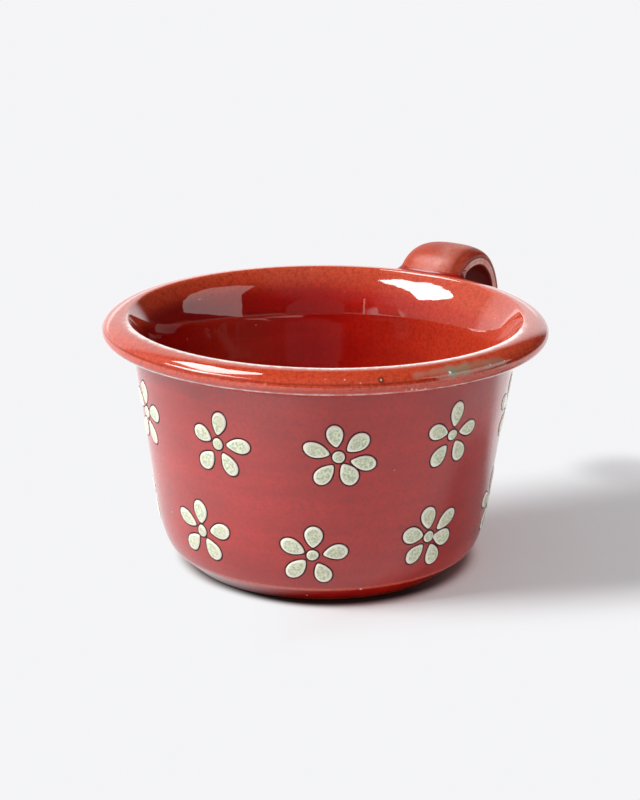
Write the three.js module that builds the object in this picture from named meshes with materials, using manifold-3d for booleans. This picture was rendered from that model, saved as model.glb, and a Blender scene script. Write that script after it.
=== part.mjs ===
// A small espresso cup in glazed red clay, decorated with simple daisies dabbed on in pale slip.
// The body is thrown on the wheel, with a rolled rim and a chamfered foot. A strap handle springs from the
// back of the rim, arches over and comes back to the wall, where it is luted on with small rolls of clay.
// Units are millimetres. +Z is up, the origin is the centre of the base, and the handle points along +X.

import * as THREE from "three";
import { mergeVertices } from "three/addons/utils/BufferGeometryUtils.js";
import Module from "manifold-3d";

const wasm = await Module();
wasm.setup();

// Body
const cupHeight = 44;
const baseRadius = 24.1;
const baseEdgeRound = 0.5;
const footEdgeHeight = 3.3;
const footEdgeLean = 27; // degrees that the wall leans out where it leaves the foot
const bellyRadius = 29.9;
const bellyHeight = 13.2;
const footEdgeInset = 2.4; // from the belly in to the foot's edge
const wallThickness = 3.4;
const floorThickness = 4.6;
const floorCorner = 9; // reach of the rounding between the floor and the inner wall

// Rolled rim
const rimRadius = 38.65;
const rimCrestInset = 3.9; // from the rim's edge in to the highest ring of the lip
const rimWallInset = 5; // from the rim's edge in to the top of the outer wall
const rimTopDepth = 2.4; // from the crest down to the widest ring
const rimUnderDepth = 2.25; // from the widest ring down to where the roll meets the wall
const lipEdgeRound = 1; // the tight edge just inside the crest
const flareLean = 38; // degrees that the inside leans out below that edge
const flareHeight = 35.5; // where the flare begins on the inner wall

// Strap handle. Its path is the line that the finger touches, in the upright plane through the axis.
const strapWidth = 12.5;
const strapEdgeThickness = 1.95;
const strapCrown = 1.6; // how far the outer face stands above its two edges
const strapCornerRound = 0.5;
const rootRise = 52; // degrees above level at which the strap leaves the rim
const rootDrop = 1.55; // from the crest down to where the strap's finger side leaves the rim
const rootDepth = 2; // how far the strap is first carried on into the rim
const archRun = 4.85; // from the rim's edge out to the top of the arch
const archRise = 0.4; // from the crest up to the top of the arch, on the finger side
const reach = 52.2; // from the axis out to the widest place of the finger side
const reachHeight = 29;
const lowerJointHeight = 14.5;
const lowerJointRise = 18; // degrees above level at which the strap leaves the lower wall
const lowerDepth = 6; // how far it is first carried on through the wall
const lowerFlare = 0.6; // extra half width where the strap is pressed to the wall
const lowerFlareLength = 9; // ahead of the wall

// Joints
const seatGap = 0.3;
const rollLeg = 3.6; // how far the upper roll of clay climbs the strap
const rollHollow = 0.3; // share by which its face is drawn in towards the crook
const collarReach = 2.2; // how far the lower collar spreads over the wall
const collarHeight = 2.8; // how far it climbs the strap
const collarEdge = 0.35; // thickness of its worn-down edges

// Daisies
const petalStart = 0.6; // from the middle of the flower
const petalEnd = 5.95;
const petalHalfWidth = 1.45;
const petalThickness = 0.35;
const slipEdge = 0.4; // how far the edge of a dab slopes in
const eyeRadius = 1.15;
const eyeThickness = 0.5;
const upperRowHeight = 28.9;
const lowerRowHeight = 11.3;
const largestStray = 1; // how far a flower sits above or below its row, each by its own share
const upperRow = {
  name: "upper_flower",
  height: upperRowHeight,
  firstAngle: 33, // degrees round from the handle
  stepAngle: 36.8,
  strays: [0.2, -0.4, 0.3, -0.1, -0.2, -0.6, 0.8, 0.2, -0.3],
  sixPetalled: [1, 5],
};
const lowerRow = {
  name: "lower_flower",
  height: lowerRowHeight,
  firstAngle: 50.2,
  stepAngle: 39.8,
  strays: [-0.3, 0.4, 0.1, 0.2, -1, 0.3, 0.5, -0.2],
  sixPetalled: [2, 5],
};
const fivePetals = [84, 8, 301, 229, 157]; // the petals' directions, in degrees from level
const sixPetals = [99, 36, 345, 295, 231, 163];

// Facets
const turnSegments = 80;
const strapStations = 36;
const crownSteps = 8;
const collarStations = 5;
const petalCorners = 10;
const eyeCorners = 9;

const radians = THREE.MathUtils.degToRad;
const footEdgeRadius = bellyRadius - footEdgeInset;
const crestRadius = rimRadius - rimCrestInset;
const wallTopRadius = rimRadius - rimWallInset;
const rimWidestHeight = cupHeight - rimTopDepth;
const rimUnderHeight = rimWidestHeight - rimUnderDepth;
const wallSlope = (wallTopRadius - bellyRadius) / (rimUnderHeight - bellyHeight);

// Radius of the outer wall's straight part, carried on past its ends.
function wallRadiusAt(height) {
  return bellyRadius + (height - bellyHeight) * wallSlope;
}

function polar(length, degrees) {
  return new THREE.Vector2(Math.cos(radians(degrees)), Math.sin(radians(degrees))).multiplyScalar(length);
}

// Points along an elliptical arc, its ends included.
function arcPoints(centreX, centreY, radiusX, radiusY, fromDegrees, toDegrees, steps) {
  const clockwise = toDegrees < fromDegrees;
  const [start, end] = [radians(fromDegrees), radians(toDegrees)];
  return new THREE.EllipseCurve(centreX, centreY, radiusX, radiusY, start, end, clockwise).getPoints(steps);
}

// The belly: a curve that leaves the foot's edge leaning outwards and runs into the straight wall.
function bellyPoints(skin) {
  const start = new THREE.Vector2(footEdgeRadius + skin, footEdgeHeight);
  const end = new THREE.Vector2(bellyRadius + skin, bellyHeight);
  const handle = start.distanceTo(end) / 3;
  const startHandle = start.clone().add(polar(handle, 90 - footEdgeLean));
  const endHandle = end.clone().sub(new THREE.Vector2(wallSlope, 1).setLength(handle));
  return new THREE.CubicBezierCurve(start, startHandle, endHandle, end).getPoints(6);
}

// The inside corner: from the inner wall round to the flat floor.
function floorCornerPoints() {
  const innerRadius = (height) => wallRadiusAt(height) - wallThickness;
  const cornerTop = floorThickness + floorCorner;
  const start = new THREE.Vector2(innerRadius(cornerTop), cornerTop);
  const end = new THREE.Vector2(innerRadius(floorThickness) - floorCorner, floorThickness);
  const handle = floorCorner * 0.55;
  const startHandle = start.clone().sub(new THREE.Vector2(wallSlope, 1).setLength(handle));
  const endHandle = end.clone().add(new THREE.Vector2(handle, 0));
  return new THREE.CubicBezierCurve(start, startHandle, endHandle, end).getPoints(6);
}

// The lip's inner side: a tight edge inside the crest, then a flare down to the straight inner wall.
function lipInnerPoints() {
  const edgeEnd = 180 - flareLean;
  const edge = arcPoints(crestRadius, cupHeight - lipEdgeRound, lipEdgeRound, lipEdgeRound, 90, edgeEnd, 3);
  const start = edge.pop();
  const end = new THREE.Vector2(wallRadiusAt(flareHeight) - wallThickness, flareHeight);
  const handle = start.distanceTo(end) * 0.36;
  const startHandle = start.clone().sub(polar(handle, 90 - flareLean));
  const endHandle = end.clone().add(new THREE.Vector2(wallSlope, 1).setLength(handle));
  return [...edge, ...new THREE.CubicBezierCurve(start, startHandle, endHandle, end).getPoints(5)];
}

// The outside of half the body's section, from the middle of the base out, up and over to the crest. skin
// moves every face outwards, which makes the seat of a piece that keeps a gap.
function outerOutline(skin) {
  const edge = baseEdgeRound;
  const roll = rimRadius + skin;
  return [
    new THREE.Vector2(0, -skin),
    ...arcPoints(baseRadius - edge, edge, edge + skin, edge + skin, -90, -45, 2),
    ...bellyPoints(skin),
    new THREE.Vector2(wallTopRadius + skin, rimUnderHeight - skin),
    ...arcPoints(wallTopRadius, rimWidestHeight, roll - wallTopRadius, rimUnderDepth + skin, -78, 0, 6),
    ...arcPoints(crestRadius, rimWidestHeight, roll - crestRadius, rimTopDepth + skin, 0, 90, 6).slice(1),
  ];
}

// The inside, from the crest down to the middle of the floor.
function innerOutline() {
  return [...lipInnerPoints().slice(1), ...floorCornerPoints(), new THREE.Vector2(0, floorThickness)];
}

function turned(outline) {
  return new THREE.LatheGeometry(outline, turnSegments).rotateX(Math.PI / 2);
}

// Solids of manifold-3d to and from three.js geometry
function solidOf(geometry) {
  const bare = new THREE.BufferGeometry();
  bare.setAttribute("position", geometry.getAttribute("position"));
  bare.setIndex(geometry.getIndex());
  const merged = mergeVertices(bare, 1e-4);
  return new wasm.Manifold(
    new wasm.Mesh({
      numProp: 3,
      vertProperties: new Float32Array(merged.getAttribute("position").array),
      triVerts: new Uint32Array(merged.getIndex().array),
    }),
  );
}

function geometryOf(solid) {
  const mesh = solid.getMesh();
  const geometry = new THREE.BufferGeometry();
  geometry.setAttribute("position", new THREE.BufferAttribute(mesh.vertProperties, 3));
  geometry.setIndex(new THREE.BufferAttribute(mesh.triVerts, 1));
  geometry.computeVertexNormals();
  return geometry;
}

// A closed skin over rings of points that all have the same count, with a fan over each end. The middle
// of the last fan may stand proud, which domes it.
function lofted(rings, dome = new THREE.Vector3()) {
  const perRing = rings[0].length;
  const points = rings.flat();
  const faces = [];
  for (let ring = 0; ring + 1 < rings.length; ring++) {
    for (let i = 0; i < perRing; i++) {
      const a = ring * perRing + i;
      const b = ring * perRing + ((i + 1) % perRing);
      faces.push(a, b, a + perRing);
      faces.push(b, b + perRing, a + perRing);
    }
  }
  const lastRing = (rings.length - 1) * perRing;
  const firstMiddle = points.push(middleOf(rings[0])) - 1;
  const lastMiddle = points.push(middleOf(rings[rings.length - 1]).add(dome)) - 1;
  for (let i = 0; i < perRing; i++) {
    const next = (i + 1) % perRing;
    faces.push(next, i, firstMiddle);
    faces.push(lastRing + i, lastRing + next, lastMiddle);
  }
  const geometry = new THREE.BufferGeometry().setFromPoints(points);
  geometry.setIndex(faces);
  return geometry;
}

function middleOf(ring) {
  return ring.reduce((sum, point) => sum.add(point), new THREE.Vector3()).divideScalar(ring.length);
}

// The strap's path, from inside the rim over the arch and down to inside the wall.
function strapPathCurve() {
  const rootDown = rootDrop / rimTopDepth;
  const rootOut = Math.sqrt(1 - (1 - rootDown) ** 2) * (rimRadius - crestRadius);
  const root = new THREE.Vector2(crestRadius + rootOut, cupHeight - rootDrop);
  const top = new THREE.Vector2(rimRadius + archRun, cupHeight + archRise);
  const widest = new THREE.Vector2(reach, reachHeight);
  const seated = new THREE.Vector2(wallRadiusAt(lowerJointHeight), lowerJointHeight);
  const first = root.clone().sub(polar(rootDepth, rootRise));
  const last = seated.clone().sub(polar(lowerDepth, lowerJointRise));
  const archHandle = top.distanceTo(root) * 0.4;
  const upperHandle = widest.distanceTo(top);
  const lowerHandle = widest.distanceTo(seated) * 0.42;
  const curve = new THREE.CurvePath();
  curve.add(new THREE.LineCurve(first, root));
  curve.add(
    new THREE.CubicBezierCurve(
      root,
      root.clone().add(polar(archHandle, rootRise)),
      top.clone().sub(new THREE.Vector2(archHandle * 0.6, 0)),
      top,
    ),
  );
  curve.add(
    new THREE.CubicBezierCurve(
      top,
      top.clone().add(new THREE.Vector2(upperHandle * 0.3, 0)),
      widest.clone().add(new THREE.Vector2(0, upperHandle * 0.6)),
      widest,
    ),
  );
  curve.add(
    new THREE.CubicBezierCurve(
      widest,
      widest.clone().sub(new THREE.Vector2(0, lowerHandle)),
      seated.clone().add(polar(lowerHandle * 0.9, lowerJointRise)),
      seated,
    ),
  );
  curve.add(new THREE.LineCurve(seated, last));
  return curve;
}

const strapPath = strapPathCurve();
const strapLength = strapPath.getLength();
const upperSeat = rootDepth;
const lowerSeat = strapLength - lowerDepth;

// The strap's section: flat on the finger side, crowned outside, with softened corners. Each point is the
// place across the width and the height above the finger side. grow moves the whole outline outwards.
function strapSection(halfWidth, grow) {
  const side = halfWidth + grow;
  const round = strapCornerRound + grow;
  const crown = [];
  for (let step = 0; step <= crownSteps; step++) {
    const turn = (Math.PI * step) / crownSteps;
    const height = strapEdgeThickness + (strapCrown + grow) * Math.sin(turn);
    crown.push(new THREE.Vector2(side * Math.cos(turn), height));
  }
  return [
    ...arcPoints(-side + round, -grow + round, round, round, 180, 270, 2),
    ...arcPoints(side - round, -grow + round, round, round, 270, 360, 2),
    ...crown,
  ];
}

// Extra half width near the lower end.
function flareAt(distance) {
  const share = THREE.MathUtils.clamp(1 - (lowerSeat - distance) / lowerFlareLength, 0, 1);
  return lowerFlare * share * share;
}

// The section standing on the path at a distance from its start.
function strapRing(distance, grow) {
  const share = THREE.MathUtils.clamp(distance / strapLength, 0, 1);
  const point = strapPath.getPointAt(share);
  const heading = strapPath.getTangentAt(share);
  const outward = new THREE.Vector2(-heading.y, heading.x);
  return strapSection(strapWidth / 2 + flareAt(distance), grow).map(({ x: across, y: above }) => {
    return new THREE.Vector3(point.x + outward.x * above, across, point.y + outward.y * above);
  });
}

function strapSolid(grow) {
  const rings = [];
  for (let station = 0; station <= strapStations; station++) {
    rings.push(strapRing((strapLength * station) / strapStations, grow));
  }
  return solidOf(lofted(rings));
}

// The roll of clay pressed into the crook under the strap where it leaves the rim: a hollow-faced wedge
// from the rim's widest ring up to the strap's finger side, with rounded-off ends.
function upperRollSolid() {
  const root = strapPath.getPointAt(upperSeat / strapLength);
  const onStrap = strapPath.getPointAt((upperSeat + rollLeg) / strapLength);
  const inStrap = onStrap.clone().add(polar(strapEdgeThickness, rootRise + 90));
  const onRim = new THREE.Vector2(rimRadius + seatGap + collarEdge, rimWidestHeight);
  const inRim = new THREE.Vector2(crestRadius, rimWidestHeight);
  const bow = onStrap.clone().add(onRim).divideScalar(2).lerp(root, rollHollow);
  const wedge = new THREE.Shape();
  wedge.moveTo(inRim.x, inRim.y);
  wedge.lineTo(onRim.x, onRim.y);
  wedge.quadraticCurveTo(bow.x, bow.y, onStrap.x, onStrap.y);
  wedge.lineTo(inStrap.x, inStrap.y);
  const geometry = new THREE.ExtrudeGeometry(wedge, {
    depth: strapWidth - 2 * collarEdge,
    curveSegments: 6,
    bevelSize: collarEdge,
    bevelOffset: -collarEdge,
    bevelThickness: collarEdge,
    bevelSegments: 1,
  });
  geometry.translate(0, 0, collarEdge - strapWidth / 2).rotateX(Math.PI / 2);
  return solidOf(geometry);
}

// Moves a point level with the wall in or out until it stands this far off the wall's face.
function offWall(point, distance) {
  const share = (wallRadiusAt(point.z) + distance) / Math.hypot(point.x, point.y);
  return new THREE.Vector3(point.x * share, point.y * share, point.z);
}

// The collar of clay worked round the strap's lower end. Its face starts along the strap, turns through a
// hollow curve and runs out along the wall. The last ring lies inside the wall.
function lowerCollarSolid() {
  const lift = seatGap + collarEdge;
  const along = polar(collarHeight, lowerJointRise);
  const crook = strapRing(lowerSeat, lift).map((point) => offWall(point, lift));
  const onStrap = crook.map((point) => point.clone().add(new THREE.Vector3(along.x, 0, along.y)));
  const onWall = strapRing(lowerSeat, lift + collarReach).map((point) => offWall(point, lift));
  const faces = crook.map((point, i) => new THREE.QuadraticBezierCurve3(onStrap[i], point, onWall[i]));
  const rings = [];
  for (let station = 0; station <= collarStations; station++) {
    rings.push(faces.map((face) => face.getPoint(station / collarStations)));
  }
  rings.push(onWall.map((point) => offWall(point, -collarEdge)));
  return solidOf(lofted(rings));
}

const outline = outerOutline(0);

// Radius of the outer wall at any height between the foot's edge and the rim.
function skinRadiusAt(height) {
  const above = outline.findIndex((point) => point.y > height);
  const [low, high] = [outline[above - 1], outline[above]];
  return THREE.MathUtils.mapLinear(height, low.y, high.y, low.x, high.x);
}

// One dab of slip, lying flat: its outline at the bottom, and a smaller one on top with a raised middle.
function dabSolid(rim, thickness, dome) {
  const middle = middleOf(rim);
  const top = rim.map((point) => {
    const inwards = middle.clone().sub(point).setLength(slipEdge);
    return point.clone().add(inwards).setZ(thickness);
  });
  return solidOf(lofted([rim, top], new THREE.Vector3(0, 0, dome)));
}

// A petal points away from the middle of the flower, and is widest past its own middle.
function petalSolid(direction) {
  const rim = [];
  const halfLength = (petalEnd - petalStart) / 2;
  for (let corner = 0; corner < petalCorners; corner++) {
    const angle = (2 * Math.PI * corner) / petalCorners;
    const along = Math.cos(angle);
    const taper = 0.97 + 0.42 * along - 0.2 * along * along;
    const across = petalHalfWidth * Math.sin(angle) * taper;
    rim.push(new THREE.Vector3(petalStart + halfLength * (1 + along), across, 0));
  }
  const axis = new THREE.Vector3(0, 0, 1);
  const turnedRim = rim.map((point) => point.applyAxisAngle(axis, radians(direction)));
  return dabSolid(turnedRim, petalThickness, slipEdge / 3);
}

function eyeSolid() {
  const rim = arcPoints(0, 0, eyeRadius, eyeRadius, 0, 360, eyeCorners).slice(1);
  const points = rim.map((point) => new THREE.Vector3(point.x, point.y, 0));
  return dabSolid(points, eyeThickness, slipEdge / 3);
}

function flatFlower(directions) {
  return directions.reduce((flower, direction) => flower.add(petalSolid(direction)), eyeSolid());
}

// Lays a flat flower on the wall: its X runs round the wall, its Y up it and its Z straight out.
function wrapped(flower, degreesRound, height) {
  const geometry = geometryOf(flower);
  const position = geometry.getAttribute("position");
  const startRadius = skinRadiusAt(height);
  for (let i = 0; i < position.count; i++) {
    const angle = radians(degreesRound) + position.getX(i) / startRadius;
    const z = height + position.getY(i);
    const radius = skinRadiusAt(z) + seatGap + position.getZ(i);
    position.setXYZ(i, radius * Math.cos(angle), radius * Math.sin(angle), z);
  }
  geometry.computeVertexNormals();
  return geometry;
}

const seat = solidOf(turned([...outerOutline(seatGap), new THREE.Vector2(0, cupHeight + seatGap)]));
const strap = strapSolid(0).subtract(seat);
const strapClearance = strapSolid(seatGap);
const upperRoll = upperRollSolid().subtract(strapClearance).subtract(seat);
const lowerCollar = lowerCollarSolid().subtract(strapClearance).subtract(seat);
const fiveFlower = flatFlower(fivePetals);
const sixFlower = flatFlower(sixPetals);

const glazedClay = { color: 0xa5352a, roughness: 0.12 };
const jointClay = { color: 0x9c3126, roughness: 0.2 };
const paleSlip = { color: 0xe9e6c9, roughness: 0.15 };

const cup = new THREE.Group();

function addPiece(name, geometry, finish) {
  const piece = new THREE.Mesh(geometry, new THREE.MeshStandardMaterial({ ...finish, metalness: 0 }));
  piece.name = name;
  cup.add(piece);
}

addPiece("cup_body", turned([...outline, ...innerOutline()]), glazedClay);
addPiece("handle_strap", geometryOf(strap), glazedClay);
addPiece("upper_joint_roll", geometryOf(upperRoll), jointClay);
addPiece("lower_joint_collar", geometryOf(lowerCollar), jointClay);

for (const row of [upperRow, lowerRow]) {
  row.strays.forEach((stray, i) => {
    const flower = row.sixPetalled.includes(i) ? sixFlower : fiveFlower;
    const geometry = wrapped(flower, row.firstAngle + row.stepAngle * i, row.height + largestStray * stray);
    addPiece(`${row.name}_${i + 1}`, geometry, paleSlip);
  });
}

export default cup;
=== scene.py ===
import math
import random

import bmesh
import bpy
from mathutils import Matrix, Vector


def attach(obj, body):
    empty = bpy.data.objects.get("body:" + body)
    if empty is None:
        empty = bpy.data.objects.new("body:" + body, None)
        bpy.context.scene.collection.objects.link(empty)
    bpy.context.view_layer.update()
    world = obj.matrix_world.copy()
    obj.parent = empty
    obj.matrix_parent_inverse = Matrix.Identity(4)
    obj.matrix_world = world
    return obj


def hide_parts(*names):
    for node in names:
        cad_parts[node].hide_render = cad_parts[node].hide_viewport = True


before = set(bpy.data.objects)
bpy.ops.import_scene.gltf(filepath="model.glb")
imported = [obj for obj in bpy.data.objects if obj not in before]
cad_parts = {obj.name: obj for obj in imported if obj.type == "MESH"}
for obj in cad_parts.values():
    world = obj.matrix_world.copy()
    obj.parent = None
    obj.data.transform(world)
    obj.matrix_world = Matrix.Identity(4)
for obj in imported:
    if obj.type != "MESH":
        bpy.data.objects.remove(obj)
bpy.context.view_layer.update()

MM = 0.001
rng = random.Random(7)

# Sizes in millimetres and angles in degrees, as in the CAD source

CUP_HEIGHT = 44.0
BASE_RADIUS = 24.1
BASE_EDGE_ROUND = 0.5
FOOT_EDGE_RADIUS = 27.5
FOOT_EDGE_HEIGHT = 3.3
FOOT_EDGE_LEAN = 27
BELLY_RADIUS = 29.9
BELLY_HEIGHT = 13.2
WALL_THICKNESS = 3.4
FLOOR_THICKNESS = 4.6
FLOOR_CORNER = 9.0

RIM_RADIUS = 38.65
CREST_RADIUS = 34.75
WALL_TOP_RADIUS = 33.65
RIM_TOP_DEPTH = 2.4
RIM_UNDER_DEPTH = 2.25
RIM_UNDER_START = -78
LIP_EDGE_ROUND = 1.0
FLARE_LEAN = 38
FLARE_HEIGHT = 35.5
RIM_WIDEST_HEIGHT = CUP_HEIGHT - RIM_TOP_DEPTH
RIM_UNDER_HEIGHT = RIM_WIDEST_HEIGHT - RIM_UNDER_DEPTH
WALL_SLOPE = (WALL_TOP_RADIUS - BELLY_RADIUS) / (RIM_UNDER_HEIGHT - BELLY_HEIGHT)

STRAP_WIDTH = 12.5
STRAP_EDGE = 1.95
STRAP_CROWN = 1.6
STRAP_CORNER = 0.5
ROOT_RISE = 52
ROOT_DROP = 1.55
ROOT_DEPTH = 2.0
ARCH_RUN = 4.85
ARCH_RISE = 0.4
REACH = 52.2
REACH_HEIGHT = 29.0
LOWER_JOINT_HEIGHT = 14.5
LOWER_JOINT_RISE = 18
LOWER_FLARE = 0.6
LOWER_FLARE_LENGTH = 9.0

# Sizes of the look alone

LOWER_DEPTH = 2.4
CROWN_START = STRAP_EDGE * 0.8
CROWN_SQUARENESS = 0.82
RIM_OVAL = 0.42
RIM_LIFT = 0.10
WALL_WAVER = 0.09
WALL_RIPPLE = 0.05

# The photograph's view, in degrees round the cup from its handle

LOOKS_TOWARDS = 32.5
CAMERA_SIDE = LOOKS_TOWARDS + 180
PHOTO_RIGHT = LOOKS_TOWARDS - 90


def smooth(low, high, value):
    """0 at the first end, 1 at the second, with a soft run between them."""
    share = min(max((value - low) / (high - low), 0.0), 1.0)
    return share * share * (3 - 2 * share)


def hill(offset, width):
    """1 where the offset is nothing, falling off to both sides over about this width."""
    return math.exp(-((offset / width) ** 2))


def turned_by(length, degrees):
    """A flat vector of this length at this angle."""
    angle = math.radians(degrees)
    return Vector((math.cos(angle), math.sin(angle))) * length


def bezier(points, steps):
    """Points along a Bezier curve of any order, its ends included."""
    line = []
    for step in range(steps + 1):
        share = step / steps
        level = list(points)
        while len(level) > 1:
            level = [a.lerp(b, share) for a, b in zip(level, level[1:])]
        line.append(level[0].copy())
    return line


def arc(centre_x, centre_y, radius_x, radius_y, start, end, steps):
    """Points along a part of an ellipse, between two angles in degrees."""
    line = []
    for step in range(steps + 1):
        angle = math.radians(start + (end - start) * step / steps)
        line.append(Vector((centre_x + radius_x * math.cos(angle), centre_y + radius_y * math.sin(angle))))
    return line


def wall_radius(height):
    return BELLY_RADIUS + (height - BELLY_HEIGHT) * WALL_SLOPE


# Body profile: (radius, height), from the middle of the base out and up, over the rim and down inside

def outer_profile():
    up = Vector((WALL_SLOPE, 1)).normalized()
    lean = 90 - FOOT_EDGE_LEAN
    foot = Vector((FOOT_EDGE_RADIUS, FOOT_EDGE_HEIGHT))
    belly = Vector((BELLY_RADIUS, BELLY_HEIGHT))
    top = Vector((WALL_TOP_RADIUS, RIM_UNDER_HEIGHT))
    third = (belly - foot).length / 3
    edge = BASE_EDGE_ROUND
    across = RIM_RADIUS - WALL_TOP_RADIUS
    roll = arc(WALL_TOP_RADIUS, RIM_WIDEST_HEIGHT, across, RIM_UNDER_DEPTH, RIM_UNDER_START, 0, 24)
    line = [Vector((r, 0.0)) for r in (0.0, 4.0, 8.0, 12.0, 16.0, 20.0, 22.5)]
    line += arc(BASE_RADIUS - edge, edge, edge, edge, -90, -40, 6)
    line += bezier([line[-1], foot - turned_by(0.5, 45)], 12)[1:]
    line += bezier([line[-1], foot, foot + turned_by(0.5, lean)], 8)[1:]
    line += bezier([line[-1], foot + turned_by(third, lean), belly - up * third, belly], 30)[1:]
    line += bezier([belly, top - up * 0.8], 50)[1:]
    line += bezier([line[-1], top - up * 0.1, roll[0]], 8)[1:]
    line += roll[1:]
    line += arc(CREST_RADIUS, RIM_WIDEST_HEIGHT, RIM_RADIUS - CREST_RADIUS, RIM_TOP_DEPTH, 0, 90, 30)[1:]
    return line


def inner_profile():
    up = Vector((WALL_SLOPE, 1)).normalized()
    edge = LIP_EDGE_ROUND
    line = arc(CREST_RADIUS, CUP_HEIGHT - edge, edge, edge, 90, 180 - FLARE_LEAN, 10)
    flare_start = line[-1]
    flare_end = Vector((wall_radius(FLARE_HEIGHT) - WALL_THICKNESS, FLARE_HEIGHT))
    bend = (flare_end - flare_start).length * 0.36
    first = flare_start - turned_by(bend, 90 - FLARE_LEAN)
    line += bezier([flare_start, first, flare_end + up * bend, flare_end], 24)[1:]
    corner_top = FLOOR_THICKNESS + FLOOR_CORNER
    start = Vector((wall_radius(corner_top) - WALL_THICKNESS, corner_top))
    end = Vector((wall_radius(FLOOR_THICKNESS) - WALL_THICKNESS - FLOOR_CORNER, FLOOR_THICKNESS))
    bend = FLOOR_CORNER * 0.55
    line += bezier([flare_end, start], 40)[1:]
    line += bezier([start, start - up * bend, end + Vector((bend, 0)), end], 30)[1:]
    line += bezier([end, Vector((0.0, FLOOR_THICKNESS))], 14)[1:]
    return line


OUTER = outer_profile()
INNER = inner_profile()


# The hand of the thrower: small departures from the true round, the same for every piece

def warped(point):
    """The point after the cup's unevenness: the rim is a little oval, and the wall wavers slightly."""
    x, y, z = point
    angle = math.atan2(y, x)
    radius = math.hypot(x, y)
    aside = math.cos(angle - math.radians(PHOTO_RIGHT))
    swell = RIM_OVAL * smooth(36, 41.5, z) * max(aside, 0.0) ** 2
    swell += WALL_WAVER * smooth(0, 10, z) * math.sin(2 * angle + 0.6)
    swell += WALL_RIPPLE * smooth(0, 10, z) * math.sin(3 * angle + z / 9)
    lift = RIM_LIFT * smooth(20, 44, z) * math.sin(2 * angle + 2.2)
    share = 1 + swell / max(radius, 12.0)
    return Vector((x * share, y * share, z + lift))


def outline_at(height):
    """Radius of the outer wall at a height above the base and below the rim."""
    for low, high in zip(OUTER, OUTER[1:]):
        if high.y > height:
            share = (height - low.y) / (high.y - low.y)
            return low.x + (high.x - low.x) * share
    return OUTER[-1].x


def to_body(point, lift):
    """The nearest place on the body's outer skin, and this far off it."""
    x, y, z = point
    flat = Vector((math.hypot(x, y), z))
    best, foot, normal = 1e9, None, None
    for a, b in zip(OUTER, OUTER[1:]):
        along = b - a
        share = min(max((flat - a).dot(along) / along.length_squared, 0.0), 1.0)
        place = a + along * share
        if (flat - place).length < best:
            best = (flat - place).length
            foot = place
            normal = Vector((along.y, -along.x)).normalized()
    spot = foot + normal * lift
    scale = spot.x / flat.x
    return Vector((x * scale, y * scale, spot.y))


def is_inside_body(point):
    """Whether a point lies within the outer skin. The rim's roll is a quarter ellipse below and one above."""
    x, y, z = point
    radius = math.hypot(x, y)
    if z < RIM_UNDER_HEIGHT:
        return radius < wall_radius(z)
    middle, depth = CREST_RADIUS, RIM_TOP_DEPTH
    if z < RIM_WIDEST_HEIGHT:
        middle, depth = WALL_TOP_RADIUS, RIM_UNDER_DEPTH
    return math.hypot((radius - middle) / (RIM_RADIUS - middle), (z - RIM_WIDEST_HEIGHT) / depth) < 1


# Meshes

def mesh_object(name, points, faces, materials, values, groups=None):
    """A smooth mesh in metres. values are float attributes per point, groups material numbers per face."""
    mesh = bpy.data.meshes.new(name)
    mesh.from_pydata([point * MM for point in points], [], faces)
    mesh.validate()
    for key, numbers in values.items():
        attribute = mesh.attributes.new(key, "FLOAT", "POINT")
        attribute.data.foreach_set("value", numbers)
    mesh.polygons.foreach_set("use_smooth", [True] * len(mesh.polygons))
    for material in materials:
        mesh.materials.append(material)
    if groups:
        mesh.polygons.foreach_set("material_index", groups)
    shape = bmesh.new()
    shape.from_mesh(mesh)
    bmesh.ops.recalc_face_normals(shape, faces=shape.faces)
    shape.to_mesh(mesh)
    shape.free()
    piece = bpy.data.objects.new(name, mesh)
    bpy.context.scene.collection.objects.link(piece)
    return piece


def skin_faces(rings, per_ring):
    """The faces between closed rings of points."""
    faces = []
    for ring in range(rings - 1):
        for i in range(per_ring):
            a = ring * per_ring + i
            b = ring * per_ring + (i + 1) % per_ring
            faces.append((a, b, b + per_ring, a + per_ring))
    return faces


def add_piece(piece, slot, *nodes):
    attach(piece, "root")
    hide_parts(*nodes)


# Node trees

def with_alpha(colour):
    return colour if isinstance(colour, bpy.types.NodeSocket) else (*colour, 1.0)


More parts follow.
